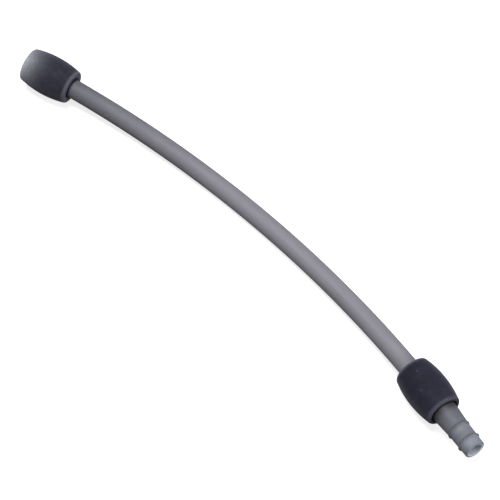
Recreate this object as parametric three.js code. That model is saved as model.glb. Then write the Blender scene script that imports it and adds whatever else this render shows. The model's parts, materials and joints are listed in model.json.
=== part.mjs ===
// Flexible extension tube for a snorkel or breathing set.
//
// A short elastic tube keeps a gentle curve. A soft barrel-shaped boot covers each of its ends. Under
// one boot the tube is pushed over the stem of a ribbed spigot, which plugs into the next piece. Under
// the other it is pushed over the stem of a socket, which takes another tube's spigot. A clamp ring
// holds the tube on each stem, and a washer seals the bottom of the socket.
//
// The assembly lies as it rests on a table: on the bellies of its two boots and on the underside of the
// tube's middle. +X runs from the socket to the spigot, +Z is up, and the origin is at the centre of
// the bounding box's underside. Lengths are in millimetres.

import * as THREE from 'three';

// Driving dimensions.
const CLEARANCE = 0.3; // between pieces that touch
const TUBE_RADIUS = 4.75;
const TUBE_BORE = 3.2; // bore radius
const CURVE_RADIUS = 495; // of the tube's centreline
const BARE_LENGTH = 225; // of the tube between its boots, along the curve
const BOOT_LENGTH = 25.6;
const BOOT_RADIUS = 10; // at the belly
const BELLY_RADIUS = 50; // of the barrel's outline
const SPIGOT_REACH = 23.4; // beyond its boot
const STEM_RADIUS = 2.5;
const STEM_BORE = 1.9;
const BARB_HEIGHT = 0.4;
const BARB_PITCH = 2.3;

// Along a fitting's axis, station 0 is the middle of its boot, and the open end is positive.
const BOOT_HALF = BOOT_LENGTH / 2;
const BOOT_EDGE = 0.8; // radius of the rounded rims
const BOOT_CHAMBER = 6.75; // bore radius round the fitting
const BOOT_NECK = 5.1; // bore radius round the tube
const NECK_MOUTH = 5.8; // radius of the flare round the tube
const NECK_FLARE = 2; // its depth
const CHAMBER_MOUTH = 6.95; // radius of the flare at the open end
const CHAMBER_FLARE = 1.2;
const NECK_DEPTH = 4.6;
const STEM_START = -11.3;
const SPIGOT_TUBE_END = 0.8;
const SOCKET_TUBE_END = -4.2;
const CLAMP_START = -BOOT_HALF + NECK_DEPTH + CLEARANCE;
const CLAMP_WALL = 0.6;
const SPIGOT_CLAMP_END = -1.5;
const SOCKET_CLAMP_END = -4.5;

// The spigot: a shoulder that stops the tube, a body that tapers beyond the boot, and two snap ribs.
const SPIGOT_BORE = 3.5;
const SPIGOT_BORE_END = 5;
const SPIGOT_TIP = BOOT_HALF + SPIGOT_REACH;
const TAPER_START = BOOT_HALF - 1;
const BODY_RADII = [6.05, 5.26]; // before the taper and at the first rib
const WAIST_RADII = [5.12, 5.02]; // between the ribs
const NOSE_RADII = [4.96, 4.88]; // from the second rib to the tip
const RIB_RADIUS = 5.58;
const RIB_HALF_WIDTH = 0.8;
const RIB_STATIONS = [BOOT_HALF + 11.15, BOOT_HALF + 18.5];
const TIP_EDGE = 0.9;

// The socket: a cup with a washer at its bottom.
const CUP_BORE = 5.85;
const CUP_RADIUS = 6.45;
const CUP_FLOOR = 1.2; // thickness
const CUP_MOUTH = BOOT_HALF - 0.8;
const MOUTH_CHAMFER = 0.15;
const WASHER_BORE = 3.4;
const WASHER_THICKNESS = 1.2;

// Faceting.
const TURN_SIDES = 32;
const TUBE_SIDES = 16;
const TUBE_STEPS = 30;
const BELLY_STEPS = 12;
const EDGE_STEPS = 3;
const RIB_STEPS = 4;

const smokePlastic = { color: 0x8b8c95, roughness: 0.42, metalness: 0, transparent: true, opacity: 0.85 };
const softRubber = { color: 0x34343f, roughness: 0.62, metalness: 0 };
const sealRubber = { color: 0x1d1d20, roughness: 0.7, metalness: 0 };
const clampSteel = { color: 0xb4b6ba, roughness: 0.32, metalness: 1 };

// A point of an outline that is turned about the fitting's axis.
function at(radius, station) {
  return new THREE.Vector2(radius, station);
}

// The points of an arc in an outline, from one angle to another, with 0 outward and a quarter turn
// towards the open end.
function arc(centre, radius, from, to, steps) {
  const points = [];
  for (let i = 0; i <= steps; i += 1) {
    const angle = from + ((to - from) * i) / steps;
    points.push(at(centre.x + radius * Math.cos(angle), centre.y + radius * Math.sin(angle)));
  }
  return points;
}

// A closed solid of revolution about +X.
function turned(outline) {
  const geometry = new THREE.LatheGeometry([...outline, outline[0]], TURN_SIDES);
  return geometry.rotateZ(-Math.PI / 2);
}

function piece(name, geometry, finish) {
  const mesh = new THREE.Mesh(geometry, new THREE.MeshStandardMaterial(finish));
  mesh.name = name;
  return mesh;
}

// The curve of the tube's centreline, which bulges towards +Y and has its middle at the origin.
class TubeCentreline extends THREE.Curve {
  constructor(from, to) {
    super();
    this.from = from;
    this.to = to;
  }

  getPoint(t, target = new THREE.Vector3()) {
    const angle = (this.from + (this.to - this.from) * t) / CURVE_RADIUS;
    return target.set(CURVE_RADIUS * Math.sin(angle), CURVE_RADIUS * (Math.cos(angle) - 1), 0);
  }
}

function ring(radius) {
  const points = [];
  for (let i = 0; i < TUBE_SIDES; i += 1) {
    const angle = (i * 2 * Math.PI) / TUBE_SIDES;
    points.push(at(radius * Math.cos(angle), radius * Math.sin(angle)));
  }
  return points;
}

function tubeGeometry(from, to) {
  const wall = new THREE.Shape(ring(TUBE_RADIUS));
  wall.holes.push(new THREE.Path(ring(TUBE_BORE).reverse()));
  return new THREE.ExtrudeGeometry(wall, {
    steps: TUBE_STEPS,
    extrudePath: new TubeCentreline(from, to),
  });
}

// A barrel with rounded rims: a flared neck round the tube, then a chamber that flares at the open end.
function bootGeometry() {
  const belly = at(BOOT_RADIUS - BELLY_RADIUS, 0);
  const edgeStation = BOOT_HALF - BOOT_EDGE;
  const bellyAngle = Math.asin(edgeStation / (BELLY_RADIUS - BOOT_EDGE));
  const edgeRadius = belly.x + (BELLY_RADIUS - BOOT_EDGE) * Math.cos(bellyAngle);
  const quarter = Math.PI / 2;
  const tubeRim = arc(at(edgeRadius, -edgeStation), BOOT_EDGE, -quarter, -bellyAngle, EDGE_STEPS);
  const openRim = arc(at(edgeRadius, edgeStation), BOOT_EDGE, bellyAngle, quarter, EDGE_STEPS);
  return turned([
    at(NECK_MOUTH, -BOOT_HALF),
    ...tubeRim,
    ...arc(belly, BELLY_RADIUS, -bellyAngle, bellyAngle, BELLY_STEPS).slice(1, -1),
    ...openRim,
    at(CHAMBER_MOUTH, BOOT_HALF),
    at(BOOT_CHAMBER, BOOT_HALF - CHAMBER_FLARE),
    at(BOOT_CHAMBER, -BOOT_HALF + NECK_DEPTH),
    at(BOOT_NECK, -BOOT_HALF + NECK_DEPTH),
    at(BOOT_NECK, -BOOT_HALF + NECK_FLARE),
  ]);
}

// The barbed outline of a stem, from its free end to the shoulder that stops the tube.
function stemOutline(barbs, shoulder) {
  const points = [at(STEM_BORE, STEM_START), at(STEM_RADIUS, STEM_START)];
  for (let i = 1; i <= barbs; i += 1) {
    const station = STEM_START + i * BARB_PITCH;
    points.push(at(STEM_RADIUS + BARB_HEIGHT, station));
    points.push(at(STEM_RADIUS, station));
  }
  points.push(at(STEM_RADIUS, shoulder));
  return points;
}

// A low half-round rib that steps down from one body radius to the next.
function rib(station, before, after) {
  const points = [at(before, station - RIB_HALF_WIDTH)];
  for (let i = 1; i < RIB_STEPS; i += 1) {
    const share = i / RIB_STEPS;
    const base = before + (after - before) * share;
    const height = (RIB_RADIUS - base) * Math.sin(Math.PI * share);
    points.push(at(base + height, station + RIB_HALF_WIDTH * (2 * share - 1)));
  }
  points.push(at(after, station + RIB_HALF_WIDTH));
  return points;
}

function spigotGeometry() {
  const shoulder = SPIGOT_TUBE_END + CLEARANCE;
  const tipCentre = at(NOSE_RADII[1] - TIP_EDGE, SPIGOT_TIP - TIP_EDGE);
  return turned([
    ...stemOutline(3, shoulder),
    at(BODY_RADII[0], shoulder),
    at(BODY_RADII[0], TAPER_START),
    ...rib(RIB_STATIONS[0], BODY_RADII[1], WAIST_RADII[0]),
    ...rib(RIB_STATIONS[1], WAIST_RADII[1], NOSE_RADII[0]),
    ...arc(tipCentre, TIP_EDGE, 0, Math.PI / 2, EDGE_STEPS),
    at(SPIGOT_BORE, SPIGOT_TIP),
    at(SPIGOT_BORE, SPIGOT_BORE_END),
    at(STEM_BORE, SPIGOT_BORE_END),
  ]);
}

function socketGeometry() {
  const shoulder = SOCKET_TUBE_END + CLEARANCE;
  return turned([
    ...stemOutline(2, shoulder),
    at(CUP_RADIUS, shoulder),
    at(CUP_RADIUS, CUP_MOUTH),
    at(CUP_BORE + MOUTH_CHAMFER, CUP_MOUTH),
    at(CUP_BORE, CUP_MOUTH - MOUTH_CHAMFER),
    at(CUP_BORE, shoulder + CUP_FLOOR),
    at(STEM_BORE, shoulder + CUP_FLOOR),
  ]);
}

// A plain ring between two radii and two stations.
function ringGeometry(inner, outer, start, end) {
  return turned([at(inner, start), at(outer, start), at(outer, end), at(inner, end)]);
}

function clampGeometry(end) {
  const inner = TUBE_RADIUS + CLEARANCE;
  return ringGeometry(inner, inner + CLAMP_WALL, CLAMP_START, end);
}

function washerGeometry() {
  const start = SOCKET_TUBE_END + CLEARANCE + CUP_FLOOR + CLEARANCE;
  return ringGeometry(WASHER_BORE, CUP_BORE - CLEARANCE, start, start + WASHER_THICKNESS);
}

// Pieces in line with the tube at one of its ends: side is 1 at the spigot and -1 at the socket.
function endGroup(side, pieces) {
  const group = new THREE.Group();
  const station = side * (BARE_LENGTH / 2 + BOOT_HALF);
  new TubeCentreline(station, station).getPoint(0, group.position);
  group.rotation.z = -station / CURVE_RADIUS + (side > 0 ? 0 : Math.PI);
  group.add(...pieces);
  return group;
}

// The tilt of the curve's plane about X that rests both bellies and the tube's middle on one surface.
// A belly's lowest point lies under its arc's centre, which leaves a quadratic in the sine of the tilt.
function restingTilt() {
  const bootAngle = (BARE_LENGTH / 2 + BOOT_HALF) / CURVE_RADIUS;
  const sagitta = CURVE_RADIUS * (1 - Math.cos(bootAngle));
  const bellyOffset = BELLY_RADIUS - BOOT_RADIUS;
  const drop = BELLY_RADIUS - TUBE_RADIUS;
  const a = sagitta ** 2 + (bellyOffset * Math.sin(bootAngle)) ** 2;
  const b = -2 * sagitta * drop;
  const c = drop ** 2 - bellyOffset ** 2;
  return Math.asin((-b - Math.sqrt(b * b - 4 * a * c)) / (2 * a));
}

const bootCentre = BARE_LENGTH / 2 + BOOT_HALF;
const tubeStart = -(bootCentre + SOCKET_TUBE_END);
const tubeEnd = bootCentre + SPIGOT_TUBE_END;

const tubePlane = new THREE.Group();
tubePlane.rotation.x = -restingTilt();
tubePlane.add(
  piece('flexible_tube', tubeGeometry(tubeStart, tubeEnd), smokePlastic),
  endGroup(-1, [
    piece('socket_end_boot', bootGeometry(), softRubber),
    piece('socket_fitting', socketGeometry(), smokePlastic),
    piece('socket_seal_washer', washerGeometry(), sealRubber),
    piece('socket_end_clamp', clampGeometry(SOCKET_CLAMP_END), clampSteel),
  ]),
  endGroup(1, [
    piece('spigot_end_boot', bootGeometry(), softRubber),
    piece('ribbed_spigot', spigotGeometry(), smokePlastic),
    piece('spigot_end_clamp', clampGeometry(SPIGOT_CLAMP_END), clampSteel),
  ]),
);

const snorkelTube = new THREE.Group();
snorkelTube.add(tubePlane);
snorkelTube.updateMatrixWorld(true);

const bounds = new THREE.Box3().setFromObject(snorkelTube, true);
const middle = bounds.getCenter(new THREE.Vector3());
tubePlane.position.set(-middle.x, -middle.y, -bounds.min.z);

export default snorkelTube;
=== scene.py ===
"""A flexible snorkel extension tube: a translucent smoke-grey tube with soft dark barrel boots, a ribbed
spigot and a socket."""
import json
import math

import bmesh
import bpy
from mathutils import Matrix, Vector


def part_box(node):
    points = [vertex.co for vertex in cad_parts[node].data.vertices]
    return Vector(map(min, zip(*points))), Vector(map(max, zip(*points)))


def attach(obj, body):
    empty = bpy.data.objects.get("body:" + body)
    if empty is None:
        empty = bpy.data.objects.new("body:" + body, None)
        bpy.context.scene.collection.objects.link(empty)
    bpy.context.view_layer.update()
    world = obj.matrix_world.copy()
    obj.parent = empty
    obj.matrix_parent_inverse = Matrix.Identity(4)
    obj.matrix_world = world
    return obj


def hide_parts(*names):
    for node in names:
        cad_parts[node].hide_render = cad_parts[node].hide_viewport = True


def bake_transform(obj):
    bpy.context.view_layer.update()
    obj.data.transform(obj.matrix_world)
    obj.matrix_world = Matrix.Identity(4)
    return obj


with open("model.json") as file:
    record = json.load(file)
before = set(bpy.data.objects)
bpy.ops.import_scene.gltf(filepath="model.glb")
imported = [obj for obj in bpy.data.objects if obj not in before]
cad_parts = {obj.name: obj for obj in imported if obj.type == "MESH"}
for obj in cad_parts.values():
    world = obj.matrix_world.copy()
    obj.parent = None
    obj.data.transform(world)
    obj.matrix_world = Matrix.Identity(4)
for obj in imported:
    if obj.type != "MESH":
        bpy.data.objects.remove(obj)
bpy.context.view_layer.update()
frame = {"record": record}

MM = 0.001

# ---------------------------------------------------------------------------------------------------
# The frame: the curve of the tube and the axis of each end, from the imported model.
# ---------------------------------------------------------------------------------------------------

JOINTS = {joint["name"]: joint for joint in frame["record"]["behaviour"]["joints"]}
CURVE_CENTRE = Vector(JOINTS["spigot_boot_slide"]["pos_m"])
CURVE_NORMAL = Vector(JOINTS["spigot_boot_slide"]["axis"]).normalized()


def box_centre(node):
    low, high = (Vector(corner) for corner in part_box(node))
    return (low + high) / 2


def end_place(boot_node):
    """The matrix of an end's own axes: X outward along the fitting, Z along the curve's normal, and the
    origin in the middle of the boot. A barrel's box and the barrel have the same centre."""
    middle = box_centre(boot_node)
    radial = middle - CURVE_CENTRE
    along = CURVE_NORMAL.cross(radial).normalized()
    outward = along if along.dot(middle - box_centre("flexible_tube")) > 0 else -along
    side = CURVE_NORMAL.cross(outward)
    place = Matrix((outward, side, CURVE_NORMAL)).transposed().to_4x4()
    place.translation = middle
    return place


SOCKET_PLACE = end_place("socket_end_boot")
SPIGOT_PLACE = end_place("spigot_end_boot")
CURVE_RADIUS = (SPIGOT_PLACE.translation - CURVE_CENTRE).length
MIDDLE_RADIAL = (
    (SPIGOT_PLACE.translation + SOCKET_PLACE.translation) / 2 - CURVE_CENTRE
).normalized()
MIDDLE_ALONG = MIDDLE_RADIAL.cross(CURVE_NORMAL)
BOOT_ANGLE = math.acos((SPIGOT_PLACE.translation - CURVE_CENTRE).normalized().dot(MIDDLE_RADIAL))


def curve_point(length):
    """The point of the tube's centreline at that length from its middle, positive towards the spigot."""
    angle = length / CURVE_RADIUS
    direction = MIDDLE_RADIAL * math.cos(angle) + MIDDLE_ALONG * math.sin(angle)
    return CURVE_CENTRE + CURVE_RADIUS * direction


# ---------------------------------------------------------------------------------------------------
# Dimensions, in millimetres. Stations run along an end's axis from the middle of its boot.
# ---------------------------------------------------------------------------------------------------

TUBE_RADIUS = 4.75
TUBE_BORE = 3.2
BARE_HALF = 112.5
TUBE_END_EDGE = 0.25
SPIGOT_TUBE_END = 0.8
SOCKET_TUBE_END = -4.2

BOOT_HALF = 12.8
BOOT_RADIUS = 10.0
BELLY_RADIUS = 50.0
BOOT_EDGE = 1.0
BOOT_CHAMBER = 6.75
BOOT_NECK = 5.1
NECK_MOUTH = 5.8
NECK_FLARE = 2.0
CHAMBER_MOUTH = 6.95
CHAMBER_FLARE = 1.2
NECK_DEPTH = 4.6

STEM_START = -11.3
STEM_RADIUS = 2.5
STEM_BORE = 1.9
BARB_HEIGHT = 0.4
BARB_PITCH = 2.3
CLEARANCE = 0.3

SPIGOT_TIP = BOOT_HALF + 23.4
SPIGOT_BORE = 3.5
SPIGOT_BORE_END = 5
SPIGOT_BARBS = 3
TAPER_START = BOOT_HALF - 1
BODY_RADII = (6.05, 5.26)
WAIST_RADII = (5.12, 5.02)
NOSE_RADII = (4.96, 4.88)
RIB_RADIUS = 5.6
RIB_WIDTH = 1.9
RIB_STATIONS = (BOOT_HALF + 11.15, BOOT_HALF + 18.5)

CUP_RADIUS = 6.45
CUP_BORE = 5.85
CUP_FLOOR = 1.2
CUP_MOUTH = BOOT_HALF - 0.8
SOCKET_BARBS = 2

WASHER_RADII = (3.4, 5.55)
WASHER_THICKNESS = 1.2

CLAMP_RADII = (5.05, 5.65)
SOCKET_CLAMP_END = -4.5
SPIGOT_CLAMP_END = -1.5

# ---------------------------------------------------------------------------------------------------
# Camera
# ---------------------------------------------------------------------------------------------------

CAMERA_AZIMUTH = 44.31
CAMERA_ELEVATION = 59.0
CAMERA_DISTANCE = 0.913
CAMERA_LENS = 140.3
CAMERA_TARGET = Vector((0.003, -0.004, 0.005))


def view_direction(azimuth, elevation):
    """The direction from the object to a camera or light at those angles in degrees. Azimuth 0 is -Y."""
    azimuth = math.radians(azimuth)
    elevation = math.radians(elevation)
    return Vector(
        (
            math.sin(azimuth) * math.cos(elevation),
            -math.cos(azimuth) * math.cos(elevation),
            math.sin(elevation),
        )
    )


def add_camera():
    back = view_direction(CAMERA_AZIMUTH, CAMERA_ELEVATION)
    data = bpy.data.cameras.new("camera")
    data.lens = CAMERA_LENS
    data.sensor_width = 36
    data.clip_start = 0.01
    camera = bpy.data.objects.new("camera", data)
    camera.location = CAMERA_TARGET + back * CAMERA_DISTANCE
    camera.rotation_euler = back.to_track_quat("Z", "Y").to_euler()
    bpy.context.scene.collection.objects.link(camera)
    bpy.context.scene.camera = camera


# ---------------------------------------------------------------------------------------------------
# Mesh tools
# ---------------------------------------------------------------------------------------------------


def arc(centre, radius, start, end, steps):
    """Points of an arc in an outline of (radius, station); angle 0 is outward, a quarter turn is along
    the axis."""
    points = []
    for i in range(steps + 1):
        angle = start + (end - start) * i / steps
        points.append((centre[0] + radius * math.cos(angle), centre[1] + radius * math.sin(angle)))
    return points


def rounded(corners, steps=5):
    """A closed outline whose corners, (radius, station, fillet), are rounded by smooth curves."""
    points = []
    for i, (radius, station, fillet) in enumerate(corners):
        here = Vector((radius, station))
        if fillet <= 0:
            points.append(tuple(here))
            continue
        before = Vector(corners[i - 1][:2]) - here
        after = Vector(corners[(i + 1) % len(corners)][:2]) - here
        turn = before.angle(after)
        reach = min(fillet / math.tan(turn / 2), 0.49 * before.length, 0.49 * after.length)
        first = here + before.normalized() * reach
        last = here + after.normalized() * reach
        for k in range(steps + 1):
            share = k / steps
            near = first.lerp(here, share)
            far = here.lerp(last, share)
            points.append(tuple(near.lerp(far, share)))
    return points


def finished(name, mesh_builder, local, material):
    """The object of a built mesh, smooth, with its straightened coordinates in mm as an attribute."""
    mesh = bpy.data.meshes.new(name)
    bmesh.ops.recalc_face_normals(mesh_builder, faces=mesh_builder.faces)
    mesh_builder.to_mesh(mesh)
    mesh_builder.free()
    attribute = mesh.attributes.new("local_mm", "FLOAT_VECTOR", "POINT")
    attribute.data.foreach_set("vector", [value for point in local for value in point])
    mesh.shade_smooth()
    mesh.materials.append(material)
    piece = bpy.data.objects.new(name, mesh)
    bpy.context.scene.collection.objects.link(piece)
    return piece


def swept(name, outline, place, sides, material):
    """A closed solid whose outline of (radius, station) turns about an axis. place(station, x, y) gives
    a point in metres."""
    builder = bmesh.new()
    local = []
    rings = []
    for radius, station in outline:
        ring = []
        for k in range(sides):
            angle = 2 * math.pi * k / sides
            x = radius * math.cos(angle)
            y = radius * math.sin(angle)
            ring.append(builder.verts.new(place(station, x, y)))
            local.append((station, x, y))
        rings.append(ring)
    for i, ring in enumerate(rings):
        following = rings[(i + 1) % len(rings)]
        for k in range(sides):
            after = (k + 1) % sides
            builder.faces.new((ring[k], ring[after], following[after], following[k]))
    return finished(name, builder, local, material)


def straight(matrix):
    """place() for swept, along an end's straight axis."""
    return lambda station, x, y: matrix @ (Vector((station, x, y)) * MM)


def curved(station, x, y):
    """place() for swept, along the tube's curve, with stations counted from its middle."""
    centre = curve_point(station * MM)
    radial = (centre - CURVE_CENTRE).normalized()
    return centre + (radial * x + CURVE_NORMAL * y) * MM


# ---------------------------------------------------------------------------------------------------
# Materials
# ---------------------------------------------------------------------------------------------------


class Nodes:
    """A short way to build a node material."""

    def __init__(self, name):
        self.material = bpy.data.materials.new(name)
        self.material.use_nodes = True
        self.tree = self.material.node_tree
        self.tree.nodes.clear()
        self.output = self.add("ShaderNodeOutputMaterial")

    def add(self, kind, values=None, **settings):
        node = self.tree.nodes.new(kind)
        for key, value in settings.items():
            setattr(node, key, value)
        for key, value in (values or {}).items():
            if isinstance(value, bpy.types.NodeSocket):
                self.tree.links.new(value, node.inputs[key])
            else:
                node.inputs[key].default_value = value
        return node

    def maths(self, operation, *values):
        """The result of a Math node. Each value is a number or a socket."""
        return self.add("ShaderNodeMath", dict(enumerate(values)), operation=operation).outputs[0]

    def coordinates(self):
        """The piece's straightened coordinates in mm: (along, across, across)."""
        return self.add("ShaderNodeAttribute", attribute_name="local_mm").outputs["Vector"]

    def local(self, scale):
        """The straightened coordinates, scaled."""
        values = {0: self.coordinates(), 1: scale}
        return self.add("ShaderNodeVectorMath", values, operation="MULTIPLY").outputs[0]

    def noise(self, scale, detail=3.0, roughness=0.5):
        """Noise from 0 to 1 with features about 1 / scale mm, along and across."""
        values = {"Vector": self.local(scale), "Scale": 1.0, "Detail": detail, "Roughness": roughness}
        return self.add("ShaderNodeTexNoise", values).outputs["Fac"]

    def between(self, factor, low, high, start=0.0, end=1.0):
        """low to high as factor goes from start to end, clamped."""
        values = {"Value": factor, "From Min": start, "From Max": end, "To Min": low, "To Max": high}
        return self.add("ShaderNodeMapRange", values, clamp=True).outputs["Result"]

    def colour(self, factor, low, high):
        """low to high as factor goes from 0 to 1. Each is a tuple or a socket."""
        ends = [(*end, 1) if isinstance(end, tuple) else end for end in (low, high)]
        values = {"Factor": factor, 6: ends[0], 7: ends[1]}
        return self.add("ShaderNodeMix", values, data_type="RGBA").outputs[2]

    def local_part(self, index):
        """One of the straightened coordinates: 0 is along the piece, 1 and 2 are across it."""
        return self.add("ShaderNodeSeparateXYZ", {0: self.coordinates()}).outputs[index]

    def along(self):
        """The station along the piece in mm."""
        return self.local_part(0)

    def radius(self):
        """The distance from the piece's axis in mm."""
        across = self.add("ShaderNodeCombineXYZ", {0: self.local_part(1), 1: self.local_part(2)})
        values = {0: across.outputs[0]}
        return self.add("ShaderNodeVectorMath", values, operation="LENGTH").outputs["Value"]

    def band(self, value, centre, half_width):
        """1 where value is centre, smoothly down to 0 at half_width from it."""
        offset = self.maths("ABSOLUTE", self.maths("SUBTRACT", value, centre))
        values = {"Value": offset, "From Min": 0.0, "From Max": half_width, "To Min": 1.0, "To Max": 0.0}
        return self.add("ShaderNodeMapRange", values, interpolation_type="SMOOTHSTEP").outputs["Result"]

    def specks(self, per_mm, size, share):
        """Round specks of that size, on a share of the cells of a lattice with per_mm cells in a mm."""
        cells = self.add(
            "ShaderNodeTexVoronoi",
            {"Vector": self.local((per_mm, per_mm, per_mm)), "Scale": 1.0},
        )
        chosen = self.add("ShaderNodeSeparateColor", {0: cells.outputs["Color"]}).outputs[0]
        chosen = self.maths("LESS_THAN", chosen, share)
        spot = self.between(cells.outputs["Distance"], 1.0, 0.0, size, size * 2)
        return self.maths("MULTIPLY", chosen, spot)

    def scaled(self, colour, factor):
        """A colour times a number."""
        return self.add("ShaderNodeVectorMath", {0: colour, 3: factor}, operation="SCALE").outputs[0]

    def bump(self, height, distance_mm, normal=None):
        """The normal of a surface raised by up to distance_mm, added to another normal if one is given."""
        values = {"Height": height, "Distance": distance_mm * MM, "Strength": 1.0}
        if normal is not None:
            values["Normal"] = normal
        return self.add("ShaderNodeBump", values).outputs["Normal"]

    def surface(self, shader):
        self.tree.links.new(shader, self.output.inputs["Surface"])
        return self.material


def tube_material():
    """Extruded satin smoke-grey elastomer: slow clouds, fine draw lines along it, grain and pale specks.
    Painted shade darkens it towards the socket, and a painted shadow lies on it just outside the socket
    boot's lip."""
    nodes = Nodes("tube_smoke")
    # Painted shade: the colour darkens towards the socket, where less light falls along the tube.
    painted_light_along = nodes.between(nodes.along(), 0.0, 1.0, *TUBE_SHADE_STATIONS)
    cloud = nodes.noise((0.03, 0.12, 0.12))
    lines = nodes.noise((0.02, 1.6, 1.6), detail=2.0)
    grain = nodes.noise((2.2, 2.2, 2.2), detail=2.0)
    colour = nodes.colour(painted_light_along, TUBE_SHADED, TUBE_LIT)
    colour = nodes.scaled(colour, nodes.between(cloud, 0.94, 1.06, 0.3, 0.7))
    colour = nodes.scaled(colour, nodes.between(lines, 0.96, 1.04, 0.3, 0.7))
    colour = nodes.colour(nodes.specks(0.55, 0.07, 0.035), colour, SPECK)
    # Painted shadow: a dark band on the tube just outside the socket boot's lip, where the lip shades it.
    lip_shadow = nodes.band(nodes.along(), -BARE_HALF, 1.7)
    colour = nodes.scaled(colour, nodes.between(lip_shadow, 1.0, 0.25))
    normal = nodes.bump(lines, 0.03)
    normal = nodes.bump(grain, 0.012, normal=normal)
    shader = nodes.add(
        "ShaderNodeBsdfPrincipled",
        {
            "Base Color": colour,
            "Roughness": nodes.between(grain, 0.58, 0.68, 0.3, 0.7),
            "Normal": normal,
            "IOR": 1.45,
            "Specular IOR Level": 0.3,
            "Transmission Weight": 0.12,
            "Subsurface Weight": 0.2,
            "Subsurface Radius": (1.0, 1.0, 1.1),
            "Subsurface Scale": MM,
        },
    )
    return nodes.surface(shader.outputs[0])


def fitting_material():
    """Moulded translucent smoke-grey plastic: swirled flow marks and grain. Painted light gathers in the
    thin nose and in the mouth of the bore, with painted shade deeper in the bore and on the part near the
    boot. Painted shade darkens the feet of the ribs and the root, where the boot's lip rests, and a painted
    highlight lightens a band after each rib."""
    nodes = Nodes("fitting_smoke")
    along = nodes.along()
    swirl = nodes.noise((0.12, 0.3, 0.3), detail=4.0, roughness=0.6)
    grain = nodes.noise((2.0, 2.0, 2.0), detail=3.0)
    # Painted light: darker near the boot, paler towards the thin nose where light gathers.
    painted_light_along = nodes.between(along, 0.0, 1.0, BOOT_HALF, SPIGOT_TIP)
    colour = nodes.colour(painted_light_along, FITTING_SHADED, FITTING_LIT)
    colour = nodes.scaled(colour, nodes.between(swirl, 0.88, 1.12, 0.3, 0.7))
    for station in RIB_STATIONS:
        # Painted shade at the rib's foot.
        foot = nodes.band(along, station - 0.4, 1.1)
        colour = nodes.scaled(colour, nodes.between(foot, 1.0, 0.66))
        # Painted highlight: a lighter band just after the rib.
        after = nodes.band(along, station + 2.0, 2.0)
        colour = nodes.scaled(colour, nodes.between(after, 1.0, 1.14))
    # Painted shade on the root, under the boot's lip.
    root = nodes.band(along, BOOT_HALF, 5.0)
    colour = nodes.scaled(colour, nodes.between(root, 1.0, 0.3))
    # Painted light in the bore: a pale glow near the tip, painted shade deeper in.
    inside = nodes.between(nodes.radius(), 1.0, 0.0, SPIGOT_BORE + 0.1, SPIGOT_BORE + 0.7)
    mouth = nodes.between(along, 0.0, 1.0, SPIGOT_TIP - 4.5, SPIGOT_TIP - 0.5)
    colour = nodes.colour(inside, colour, nodes.colour(mouth, BORE_PAINTED_SHADE, BORE_PAINTED_GLOW))
    shader = nodes.add(
        "ShaderNodeBsdfPrincipled",
        {
            "Base Color": colour,
            "Roughness": nodes.between(grain, 0.52, 0.64, 0.3, 0.7),
            "Normal": nodes.bump(grain, 0.015, normal=nodes.bump(swirl, 0.05)),
            "IOR": 1.47,
            "Specular IOR Level": 0.3,
            "Transmission Weight": 0.15,
            "Subsurface Weight": 0.25,
            "Subsurface Radius": (1.2, 1.2, 1.35),
            "Subsurface Scale": MM,
        },
    )
    return nodes.surface(shader.outputs[0])


def boot_material(name, dark, pale):
    """Soft matte rubber with a blue-violet cast: a dusty bloom in patches, grain and pale specks. Painted
    light glows through the thin wall of the open end, less along one side, and pale decides how bright. Both
    lips carry a painted highlight."""
    nodes = Nodes(name)
    along = nodes.along()
    bloom = nodes.noise((0.3, 0.3, 0.3), detail=4.0, roughness=0.65)
    grain = nodes.noise((1.6, 1.6, 1.6), detail=3.0)
    # Painted light: the open end glows pale, as light passes through its thin wall.
    thin = nodes.between(along, 0.0, 1.0, -6, BOOT_HALF + 1.5)
    thin = nodes.maths("POWER", thin, 3.2)
    # Painted light: the glow is weaker along one side, where less light falls.
    painted_light_side = nodes.between(nodes.local_part(1), 0.6, 1.0, 0.0, 5.5)
    thin = nodes.maths("MULTIPLY", thin, painted_light_side)
    colour = nodes.scaled(dark, nodes.between(bloom, 0.65, 1.35, 0.3, 0.7))
    # Painted highlight on both lips.
    for rim in (-BOOT_HALF, BOOT_HALF):
        lip_highlight = nodes.band(along, rim, 2.1)
        colour = nodes.colour(nodes.between(lip_highlight, 0.0, 0.85), colour, LIP_HIGHLIGHT)
    colour = nodes.colour(thin, colour, pale)
    colour = nodes.scaled(colour, nodes.between(grain, 0.75, 1.25, 0.3, 0.7))
    colour = nodes.colour(nodes.specks(0.45, 0.08, 0.1), colour, DUST)
    shader = nodes.add(
        "ShaderNodeBsdfPrincipled",
        {
            "Base Color": colour,
            "Roughness": nodes.between(grain, 0.66, 0.82, 0.3, 0.7),
            "Normal": nodes.bump(grain, 0.03, normal=nodes.bump(bloom, 0.05)),
            "IOR": 1.45,
            "Specular IOR Level": 0.12,
            "Sheen Weight": 0.12,
            "Sheen Roughness": 0.5,
            "Sheen Tint": (0.8, 0.8, 1.0, 1.0),
        },
    )
    return nodes.surface(shader.outputs[0])


def seal_material():
    """Dense black seal rubber with moulding grain and a faint wiped-on grease."""
    nodes = Nodes("seal_rubber")
    patches = nodes.noise((0.5, 0.5, 0.5))
    grain = nodes.noise((4.0, 4.0, 4.0))
    shader = nodes.add(
        "ShaderNodeBsdfPrincipled",
        {
            "Base Color": nodes.colour(patches, (0.012, 0.012, 0.013), (0.03, 0.03, 0.031)),
            "Roughness": nodes.between(patches, 0.32, 0.6, 0.3, 0.7),
            "Normal": nodes.bump(grain, 0.02),
        },
    )
    return nodes.surface(shader.outputs[0])


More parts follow.
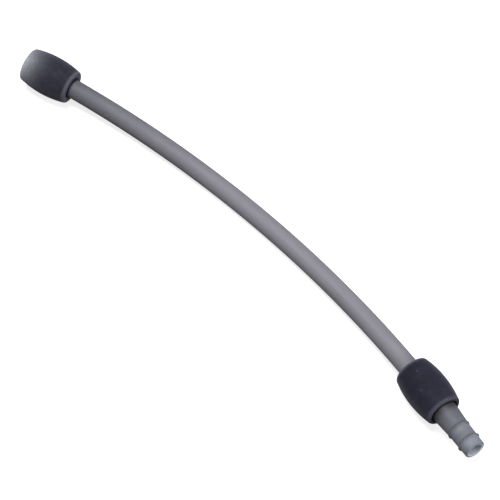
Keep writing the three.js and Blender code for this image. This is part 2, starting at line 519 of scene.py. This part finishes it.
def steel_material():
    """Turned stainless steel: fine scratches round the ring, and dull patches of handling."""
    nodes = Nodes("clamp_steel")
    scratches = nodes.noise((14.0, 0.25, 0.25), detail=3.0, roughness=0.7)
    patches = nodes.noise((0.4, 0.4, 0.4))
    colour = nodes.colour(patches, (0.5, 0.5, 0.51), (0.66, 0.66, 0.67))
    shader = nodes.add(
        "ShaderNodeBsdfPrincipled",
        {
            "Base Color": nodes.scaled(colour, nodes.between(scratches, 0.88, 1.08, 0.3, 0.7)),
            "Metallic": 1.0,
            "Roughness": nodes.between(patches, 0.24, 0.42, 0.3, 0.7),
            "Normal": nodes.bump(scratches, 0.01),
        },
    )
    return nodes.surface(shader.outputs[0])


# Tube colours: lit towards the middle, painted shade towards the socket.
TUBE_SHADED = (0.074, 0.074, 0.09)
TUBE_LIT = (0.155, 0.153, 0.175)
TUBE_SHADE_STATIONS = (-122, -25)
FITTING_SHADED = (0.076, 0.076, 0.093)
FITTING_LIT = (0.15, 0.16, 0.19)
BORE_PAINTED_SHADE = (0.3, 0.32, 0.37)
BORE_PAINTED_GLOW = (0.6, 0.645, 0.72)
SPECK = (0.26, 0.26, 0.29)
DUST = (0.055, 0.055, 0.068)
LIP_HIGHLIGHT = (0.08, 0.077, 0.1)

TUBE_SMOKE = tube_material()
FITTING_SMOKE = fitting_material()
# The two boots are one moulding, in painted light: the socket boot's copy is lighter, with a pale glow at
# its open end; the spigot boot's copy is darker and has next to no glow.
SOCKET_RUBBER_LIT = boot_material("socket_boot_rubber_lit", (0.013, 0.013, 0.021), (0.3, 0.315, 0.35))
SPIGOT_RUBBER_SHADED = boot_material("spigot_boot_rubber_shaded", (0.0085, 0.0085, 0.017), (0.016, 0.015, 0.027))
SEAL_RUBBER = seal_material()
CLAMP_STEEL = steel_material()

# ---------------------------------------------------------------------------------------------------
# Pieces
# ---------------------------------------------------------------------------------------------------

TUBE_SIDES = 96
TUBE_STEPS = 260
BOOT_SIDES = 144
FITTING_SIDES = 128
RING_SIDES = 96
RIB_STEPS = 12


def add_tube():
    boot_length = BOOT_ANGLE * CURVE_RADIUS / MM
    start = -(boot_length + SOCKET_TUBE_END)
    end = boot_length + SPIGOT_TUBE_END
    corners = []
    for radius, first, last in ((TUBE_RADIUS, start, end), (TUBE_BORE, end, start)):
        for i in range(TUBE_STEPS + 1):
            station = first + (last - first) * i / TUBE_STEPS
            edge = TUBE_END_EDGE if i in (0, TUBE_STEPS) else 0
            corners.append((radius, station, edge))
    tube = swept("tube_skin", rounded(corners), curved, TUBE_SIDES, TUBE_SMOKE)
    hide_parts("flexible_tube")
    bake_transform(tube)


def boot_outline():
    belly = (BOOT_RADIUS - BELLY_RADIUS, 0)
    edge_station = BOOT_HALF - BOOT_EDGE
    angle = math.asin(edge_station / (BELLY_RADIUS - BOOT_EDGE))
    edge_radius = belly[0] + (BELLY_RADIUS - BOOT_EDGE) * math.cos(angle)
    quarter = math.pi / 2
    shoulder = NECK_DEPTH - BOOT_HALF
    outside = arc((edge_radius, -edge_station), BOOT_EDGE, -quarter, -angle, 7)
    outside += arc(belly, BELLY_RADIUS, -angle, angle, 48)[1:-1]
    outside += arc((edge_radius, edge_station), BOOT_EDGE, angle, quarter, 7)
    inside = [
        (CHAMBER_MOUTH, BOOT_HALF, 0.5),
        (BOOT_CHAMBER, BOOT_HALF - CHAMBER_FLARE, 0.5),
        (BOOT_CHAMBER, shoulder, 0.4),
        (BOOT_NECK, shoulder, 0.2),
        (BOOT_NECK, NECK_FLARE - BOOT_HALF, 0.8),
        (NECK_MOUTH, -BOOT_HALF, 0.6),
    ]
    return rounded([(*point, 0) for point in outside] + inside)


def add_boot(name, node, body, place, material):
    boot = swept(name, boot_outline(), straight(place), BOOT_SIDES, material)
    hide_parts(node)
    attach(boot, body)


def stem_corners(barbs, shoulder):
    """The outline of a barbed stem, from its bore at the free end to the shoulder."""
    corners = [(STEM_BORE, STEM_START, 0.15), (STEM_RADIUS, STEM_START, 0.1)]
    for i in range(1, barbs + 1):
        station = STEM_START + i * BARB_PITCH
        corners.append((STEM_RADIUS + BARB_HEIGHT, station, 0.08))
        corners.append((STEM_RADIUS, station + 0.05, 0.05))
    corners.append((STEM_RADIUS, shoulder, 0.2))
    return corners


def rib_corners(station, before, after):
    """A low rounded rib between two body radii, as a raised cosine."""
    points = []
    for i in range(RIB_STEPS + 1):
        share = i / RIB_STEPS
        base = before + (after - before) * share
        height = (RIB_RADIUS - (before + after) / 2) * (0.5 - 0.5 * math.cos(2 * math.pi * share)) ** 0.8
        points.append((base + height, station + RIB_WIDTH * (share - 0.5), 0))
    return points


def add_spigot():
    shoulder = SPIGOT_TUBE_END + CLEARANCE
    corners = stem_corners(SPIGOT_BARBS, shoulder)
    corners += [
        (BODY_RADII[0], shoulder, 0.25),
        (BODY_RADII[0], TAPER_START, 0.5),
    ]
    corners += rib_corners(RIB_STATIONS[0], BODY_RADII[1], WAIST_RADII[0])
    corners += rib_corners(RIB_STATIONS[1], WAIST_RADII[1], NOSE_RADII[0])
    corners += [
        (NOSE_RADII[1], SPIGOT_TIP, 1.1),
        (SPIGOT_BORE, SPIGOT_TIP, 0.3),
        (SPIGOT_BORE, SPIGOT_BORE_END, 0.5),
        (STEM_BORE, SPIGOT_BORE_END, 0.3),
    ]
    place = straight(SPIGOT_PLACE)
    spigot = swept("spigot", rounded(corners), place, FITTING_SIDES, FITTING_SMOKE)
    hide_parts("ribbed_spigot")
    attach(spigot, "spigot_end")


def add_socket():
    shoulder = SOCKET_TUBE_END + CLEARANCE
    corners = stem_corners(SOCKET_BARBS, shoulder)
    corners += [
        (CUP_RADIUS, shoulder, 0.3),
        (CUP_RADIUS, CUP_MOUTH, 0.12),
        (CUP_BORE, CUP_MOUTH, 0.2),
        (CUP_BORE, shoulder + CUP_FLOOR, 0.3),
        (STEM_BORE, shoulder + CUP_FLOOR, 0.3),
    ]
    place = straight(SOCKET_PLACE)
    socket = swept("socket", rounded(corners), place, FITTING_SIDES, FITTING_SMOKE)
    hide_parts("socket_fitting")
    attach(socket, "socket_end")


def add_washer():
    inner, outer = WASHER_RADII
    start = SOCKET_TUBE_END + CLEARANCE + CUP_FLOOR + CLEARANCE
    end = start + WASHER_THICKNESS
    corners = [(inner, start, 0.15), (outer, start, 0.15), (outer, end, 0.3), (inner, end, 0.3)]
    place = straight(SOCKET_PLACE)
    washer = swept("washer", rounded(corners), place, RING_SIDES, SEAL_RUBBER)
    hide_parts("socket_seal_washer")
    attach(washer, "socket_end")


def add_clamp(name, node, body, matrix, end):
    inner, outer = CLAMP_RADII
    start = NECK_DEPTH - BOOT_HALF + CLEARANCE
    corners = [(inner, start, 0.1), (outer, start, 0.2), (outer, end, 0.2), (inner, end, 0.1)]
    clamp = swept(name, rounded(corners), straight(matrix), RING_SIDES, CLAMP_STEEL)
    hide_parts(node)
    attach(clamp, body)


# ---------------------------------------------------------------------------------------------------
# Stage and light
# ---------------------------------------------------------------------------------------------------

FLOOR_HALF = 3.0
FLOOR_Z = -0.0002


def add_stage():
    mesh = bpy.data.meshes.new("floor")
    signs = ((-1, -1), (1, -1), (1, 1), (-1, 1))
    corners = [(x * FLOOR_HALF, y * FLOOR_HALF, FLOOR_Z) for x, y in signs]
    mesh.from_pydata(corners, [], [(0, 1, 2, 3)])
    nodes = Nodes("pale_floor")
    shader = nodes.add(
        "ShaderNodeBsdfPrincipled",
        {
            "Base Color": (0.35, 0.35, 0.35, 1),
            "Roughness": 0.9,
            "Emission Color": (1, 1, 1, 1),
            "Emission Strength": 0.75,
        },
    )
    nodes.surface(shader.outputs[0])
    mesh.materials.append(nodes.material)
    floor = bpy.data.objects.new("floor", mesh)
    bpy.context.scene.collection.objects.link(floor)
    floor.visible_diffuse = False
    floor.visible_glossy = False


def add_light(name, azimuth, elevation, distance, size, power):
    """A square soft light that faces the object."""
    back = view_direction(azimuth, elevation)
    data = bpy.data.lights.new(name, "AREA")
    data.energy = power
    data.shape = "SQUARE"
    data.size = size
    light = bpy.data.objects.new(name, data)
    light.location = back * distance
    light.rotation_euler = back.to_track_quat("Z", "Y").to_euler()
    bpy.context.scene.collection.objects.link(light)


def add_lights():
    world = bpy.data.worlds.new("studio")
    bpy.context.scene.world = world
    world.use_nodes = True
    background = world.node_tree.nodes["Background"]
    background.inputs["Color"].default_value = (1, 1, 1, 1)
    background.inputs["Strength"].default_value = 0.35
    add_light("key", azimuth=295, elevation=79, distance=1.6, size=0.5, power=36)
    add_light("fill", azimuth=100, elevation=28, distance=1.6, size=0.6, power=16)


add_camera()
add_tube()
add_boot("socket_boot_skin", "socket_end_boot", "socket_boot", SOCKET_PLACE, SOCKET_RUBBER_LIT)
add_boot("spigot_boot_skin", "spigot_end_boot", "spigot_boot", SPIGOT_PLACE, SPIGOT_RUBBER_SHADED)
add_spigot()
add_socket()
add_washer()
add_clamp("socket_clamp", "socket_end_clamp", "socket_end", SOCKET_PLACE, SOCKET_CLAMP_END)
add_clamp("spigot_clamp", "spigot_end_clamp", "spigot_end", SPIGOT_PLACE, SPIGOT_CLAMP_END)
add_stage()
add_lights()
bpy.context.scene.view_settings.view_transform = "Standard"
